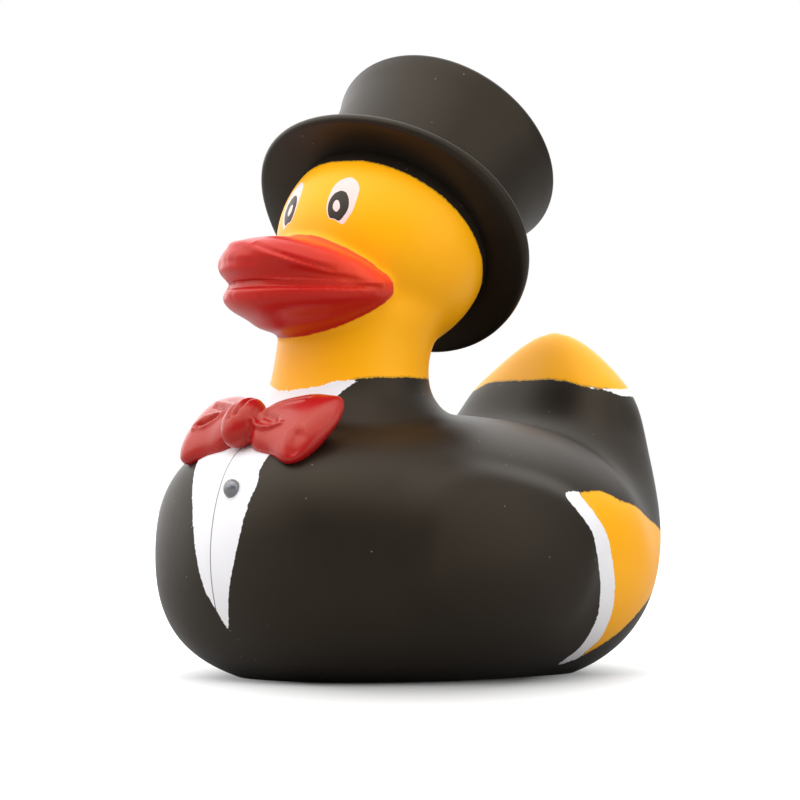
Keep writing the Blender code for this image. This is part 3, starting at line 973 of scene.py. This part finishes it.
def black_finish(shader):
    """Colour and roughness of the satin black paint."""
    cloudy = shader.noise(BLACK_CLOUD, BLACK_CLOUD_DETAIL)
    base = shader.mix_colour(cloudy, *map(colour, BLACK_SHADES))
    specks = shader.dust(*DUST)
    return shader.mix_colour(specks, base, colour(DUST_PALE)), shader.mix(cloudy, *BLACK_ROUGHNESS)


def skin_finish():
    """Bare yellow vinyl, with white, black and red paint where the skin's attributes say."""
    shader = Shader("painted_vinyl")
    waves = []
    for size, detail, height in EDGE_WAVES:
        about_zero = shader.math("SUBTRACT", shader.noise(size, detail), 0.5)
        waves.append(shader.math("MULTIPLY", about_zero, height))
    wander = shader.math("ADD", *waves)
    white = shader.edge(shader.attribute("white_paint"), wander, EDGE_SOFTNESS)
    black = shader.edge(shader.attribute("black_paint"), wander, EDGE_SOFTNESS)
    thin_depth = shader.math("ADD", shader.attribute("black_paint"), THIN_REACH)
    thin = shader.edge(thin_depth, wander, THIN_SOFTNESS)
    red_wander = shader.math("MULTIPLY", wander, RED_WANDER)
    red = shader.edge(shader.attribute("red_paint"), red_wander, RED_EDGE_SOFTNESS)

    bare = shader.mix_colour(shader.noise(YELLOW_CLOUD), *map(colour, YELLOW_SHADES))
    mixed = shader.mix_colour(shader.math("MULTIPLY", thin, THIN_SHARE), bare, colour(THIN_BLACK))
    place = shader.add("ShaderNodeSeparateXYZ", {0: shader.object_place()})
    # The seam's groove is not modelled: its shade is painted as a thin grey line down the shirt
    beside_seam = shader.math("ABSOLUTE", place.outputs[0])
    seam = shader.math("LESS_THAN", beside_seam, SEAM_HALF_WIDTH)
    seam = shader.math("MULTIPLY", seam, shader.math("LESS_THAN", place.outputs[1], SEAM_FRONT))
    shirt = shader.mix_colour(seam, colour(SHIRT_WHITE), colour(SEAM_SHADE_GREY))
    black_colour, black_roughness = black_finish(shader)
    mixed = shader.mix_colour(black, mixed, black_colour)
    mixed = shader.mix_colour(white, mixed, shirt)
    # Orange near the head is thin red over yellow; orange higher up is painted light on the bill's lit top
    sprayed_and_lit = shader.mix_colour(shader.attribute("orange_spray_and_lit_top"), colour(LIP_RED), colour(LIP_ORANGE))
    mixed = shader.mix_colour(red, mixed, sprayed_and_lit)

    roughness = shader.mix(black, YELLOW_ROUGHNESS, black_roughness)
    roughness = shader.mix(white, roughness, WHITE_ROUGHNESS)
    roughness = shader.mix(red, roughness, LIP_ROUGHNESS)
    paint_step = shader.math("MAXIMUM", white, shader.math("MAXIMUM", black, red))
    grain = shader.math("MULTIPLY", shader.noise(PAINT_GRAIN), PAINT_GRAIN_SHARE)
    shader.bump(shader.math("ADD", paint_step, grain), PAINT_THICKNESS)
    return shader.finished(mixed, roughness)


def black_paint():
    shader = Shader("hat_black")
    base, roughness = black_finish(shader)
    shader.bump(shader.noise(PAINT_GRAIN), GRAIN_HEIGHT, GRAIN_STRENGTH)
    return shader.finished(base, roughness)


def red_paint():
    shader = Shader("bow_red")
    shader.surface["Specular IOR Level"].default_value = BOW_SPECULAR
    base = shader.mix_colour(shader.noise(RED_CLOUD), *map(colour, RED_SHADES))
    roughness = shader.mix(shader.noise(RED_GLOSS_CLOUD), *BOW_ROUGHNESS)
    shader.bump(shader.noise(RED_GRAIN), GRAIN_HEIGHT, GRAIN_STRENGTH)
    return shader.finished(base, roughness)


def plain_finish(name, rgb, roughness, metallic=0.0):
    """One colour with a slight unevenness in it."""
    shader = Shader(name)
    shader.surface["Metallic"].default_value = metallic
    darker = tuple(value * PLAIN_DARKER for value in rgb)
    base = shader.mix_colour(shader.noise(PLAIN_CLOUD), colour(rgb), colour(darker))
    uneven = shader.mix(shader.noise(PLAIN_GLOSS_CLOUD), roughness, roughness + PLAIN_ROUGHER)
    return shader.finished(base, uneven)


def hat_paint_depth(places):
    """How far each place lies inside the paint that runs from the brim on to the head."""
    rows = np.array(HAT_PAINT_EDGE, dtype=float)
    home = hat_place().inverted()
    turn = np.array(home.to_3x3())
    local = (places @ turn.T + np.array(home.translation)) / MM
    way = np.degrees(np.arctan2(local[:, 0], -local[:, 1]))
    below = np.interp(way, rows[:, 0], rows[:, 1])
    away = np.linalg.norm(places - np.array(HEAD_CENTRE), axis=1) / MM
    return np.minimum(local[:, 2] + below, HEAD_PAINT_REACH - away)


def store_paint(skin, surface):
    """Write on each point how far it lies inside each field of paint, in mm."""
    places = coordinates(skin)
    x, y, z = (places / MM).T
    dipped = np.clip((COLLAR_DIP_FROM - y) / (COLLAR_DIP_FROM - COLLAR_DIP_TO), 0, COLLAR_DIP_LIMIT)
    dip = COLLAR_DIP * dipped ** COLLAR_DIP_POWER
    neck_bare = np.minimum(z - COLLAR_HEIGHT + dip, COLLAR_BACK - y)
    tail_cap = z - TAIL_CAP_HEIGHT + TAIL_CAP_DROP * ramp(abs(x), *TAIL_CAP_SIDES)
    tail_bare = np.minimum(tail_cap, y - TAIL_CAP_FRONT)
    bare = np.maximum(np.maximum(neck_bare, tail_bare), inside_by(y, z, RUMP_OUTLINE))
    shirt = np.minimum(inside_by(x, z, SHIRT_OUTLINE), SHIRT_BACK - y)
    line_width = TAIL_LINE_WIDTH * ramp(y, *TAIL_LINE_REACH)
    tail_line = np.minimum(tail_bare + line_width, y - TAIL_LINE_REACH[0])
    white = np.maximum(np.maximum(shirt, inside_by(y, z, PIPING_OUTLINE)), tail_line)
    store(skin, "white_paint", np.minimum(white, -bare))
    coat = np.minimum(-bare, UNDER_WHITE - white)
    store(skin, "black_paint", np.maximum(coat, hat_paint_depth(places)))
    proud = height_over(surface, places)
    store(skin, "red_paint", proud - RED_PAINT_EDGE)
    # Share of orange: thin red spray near the head, and painted light that grows up the bill's top
    store(skin, "orange_spray_and_lit_top", ramp(proud, *SPRAY_OVER_HEAD) * ramp(z, *LIT_TOP_HEIGHTS))


def cut_base(skin):
    """Cut the underside off level, and sink the squeaker's seat into it."""
    choose(skin)
    bpy.ops.object.mode_set(mode="EDIT")
    bpy.ops.mesh.select_all(action="SELECT")
    bpy.ops.mesh.bisect(
        plane_co=(0, 0, 0),
        plane_no=(0, 0, 1),
        clear_inner=True,
        use_fill=True,
        threshold=CUT_TOLERANCE,
    )
    bpy.ops.object.mode_set(mode="OBJECT")
    deselect()
    bpy.ops.mesh.primitive_cylinder_add(vertices=SEAT_SIDES, radius=SEAT_RADIUS, depth=2 * SEAT_DEPTH)
    seat = bpy.context.object
    finish_with(skin, "BOOLEAN", operation="DIFFERENCE", solver="EXACT", object=seat)
    bpy.data.objects.remove(seat)


def give(piece, material, home):
    """Move a piece home, finish it and let it ride on the root."""
    piece.data.transform(Matrix.Translation(home))
    piece.data.materials.clear()
    piece.data.materials.append(material)
    choose(piece)
    bpy.ops.object.shade_smooth_by_angle(angle=SMOOTH_EDGES_UP_TO)
    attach(piece, "root")


def eyes(surface):
    """The layers of both eyes, each with its finish."""
    white = plain_finish("eye_white", EYE_WHITE_PINK, EYE_ROUGHNESS)
    black = plain_finish("pupil_black", PUPIL_BLACK, EYE_ROUGHNESS)
    layers = (
        ("eye_white_", EYE_WHITE, EYE_WHITE_LIFT, white),
        ("pupil_", PUPIL, PUPIL_LIFT, black),
        ("highlight_", HIGHLIGHT, HIGHLIGHT_LIFT, white),
    )
    patches = []
    for side, word in ((1, "left"), (-1, "right")):
        for name, outline, lift, material in layers:
            patches.append((eye_patch(name + word, surface, outline, side, lift), material))
    return patches


def dress(frame):
    """All the pieces of the duck."""
    low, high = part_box("squeaker")
    home = Vector(((low[0] + high[0]) / 2, (low[1] + high[1]) / 2, 0))
    clay = clay_body()
    bare_clay = clay.copy()
    bare_clay.data = clay.data.copy()
    bpy.context.collection.objects.link(bare_clay)
    surface = surface_of(bare_clay)

    bow = bow_tie(front_of(surface, 0, BOW_HEIGHT) + Vector((0, BOW_SINK, 0)))
    stud = button(surface)
    hat = top_hat()
    skin = fused("duck_skin", [clay, bill()], SKIN_GRAIN, SKIN_SMOOTHING)
    fold_bill(skin, surface)
    cut_base(skin)
    store_paint(skin, surface)
    bpy.data.objects.remove(bare_clay)

    pieces = eyes(surface_of(skin))
    pieces.append((hat, black_paint()))
    pieces.append((bow, red_paint()))
    pieces.append((stud, plain_finish("button_grey", BUTTON_GREY, BUTTON_ROUGHNESS, BUTTON_METALLIC)))
    pieces.append((skin, skin_finish()))
    for piece, material in pieces:
        give(piece, material, home)
    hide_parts("duck_body")
    plug = frame["nodes"]["squeaker"]
    plug.data.materials.clear()
    plug.data.materials.append(plain_finish("squeaker_white", SQUEAKER_WHITE, SQUEAKER_ROUGHNESS))


def white_floor():
    """A floor that the camera sees as white, but for a grey oval of painted shade round the duck, in which
    its cast shadow falls.
    """
    deselect()
    bpy.ops.mesh.primitive_plane_add(size=FLOOR_SIZE, location=(0, 0, 0))
    floor = bpy.context.object
    floor.name = "floor"
    shader = Shader("floor_white")
    inputs = {"Vector": shader.object_place(), "Rotation": (0, 0, GLOW_TURN), "Scale": GLOW_SHAPE}
    turned_place = shader.add("ShaderNodeMapping", inputs, vector_type="TEXTURE").outputs[0]
    away = shader.add("ShaderNodeVectorMath", {0: turned_place}, operation="LENGTH").outputs["Value"]
    seen = shader.add("ShaderNodeLightPath").outputs["Is Camera Ray"]
    # Inside the oval the glow is left out, which paints shade on the floor round the duck
    glow = shader.math("MULTIPLY", shader.map_range(away, GLOW_START, GLOW_END), seen)
    shader.surface["Emission Color"].default_value = (1, 1, 1, 1)
    shader.set(shader.surface["Emission Strength"], shader.math("MULTIPLY", glow, FLOOR_GLOW))
    floor.data.materials.append(shader.finished((FLOOR_GREY, FLOOR_GREY, FLOOR_GREY, 1), FLOOR_ROUGHNESS))


def pale_world():
    """White to the camera, and a soft light that comes most from above the duck's right side."""
    world = bpy.data.worlds.new("studio")
    bpy.context.scene.world = world
    world.use_nodes = True
    tree = Tree(world.node_tree)
    way = tree.add("ShaderNodeTexCoord").outputs["Generated"]
    facing = tree.add("ShaderNodeVectorMath", {0: way, 1: LIGHT_FROM}, operation="DOT_PRODUCT")
    light = tree.map_range(facing.outputs["Value"], *WORLD_FACING, *WORLD_LIGHT)
    rays = tree.add("ShaderNodeLightPath").outputs
    seen = tree.math("MAXIMUM", rays["Is Camera Ray"], rays["Is Transmission Ray"])
    lit = tree.math("MULTIPLY", light, tree.math("SUBTRACT", 1.0, seen))
    background = tree.nodes["Background"].inputs
    background["Color"].default_value = (1, 1, 1, 1)
    tree.set(background["Strength"], tree.math("ADD", lit, seen))


def looking_at_duck(name, data, turn, height, distance):
    """A lamp or camera that looks at the duck. Its turn is counted from the front, to the duck's left."""
    level = math.cos(height)
    way = Vector((math.sin(turn) * level, -math.cos(turn) * level, math.sin(height)))
    obj = bpy.data.objects.new(name, data)
    bpy.context.collection.objects.link(obj)
    obj.location = CAMERA_TARGET + way * distance
    obj.rotation_euler = (-way).to_track_quat("-Z", "Y").to_euler()
    return obj


def lamp(name, turn, height, radiance):
    """A soft square box."""
    data = bpy.data.lights.new(name, "AREA")
    data.shape = "SQUARE"
    data.size = LAMP_SIZE
    data.energy = radiance * math.pi * LAMP_SIZE ** 2
    looking_at_duck(name, data, math.radians(turn), math.radians(height), LAMP_DISTANCE)


def studio():
    white_floor()
    pale_world()
    for name, turn, height, radiance in LAMPS:
        lamp(name, turn, height, radiance)


def camera():
    data = bpy.data.cameras.new("camera")
    data.lens = CAMERA_LENS
    data.sensor_width = CAMERA_SENSOR
    obj = looking_at_duck("camera", data, CAMERA_AZIMUTH, CAMERA_ELEVATION, CAMERA_DISTANCE)
    bpy.context.scene.camera = obj


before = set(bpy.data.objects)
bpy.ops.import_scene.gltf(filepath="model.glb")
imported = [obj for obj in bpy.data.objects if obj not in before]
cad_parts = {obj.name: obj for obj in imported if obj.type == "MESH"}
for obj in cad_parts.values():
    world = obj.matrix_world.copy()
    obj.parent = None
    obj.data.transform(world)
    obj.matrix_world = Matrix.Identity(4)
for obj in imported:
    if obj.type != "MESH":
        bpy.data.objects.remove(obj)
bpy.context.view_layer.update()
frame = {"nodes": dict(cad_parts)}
bpy.context.scene.view_settings.view_transform = "Standard"
dress(frame)
studio()
camera()
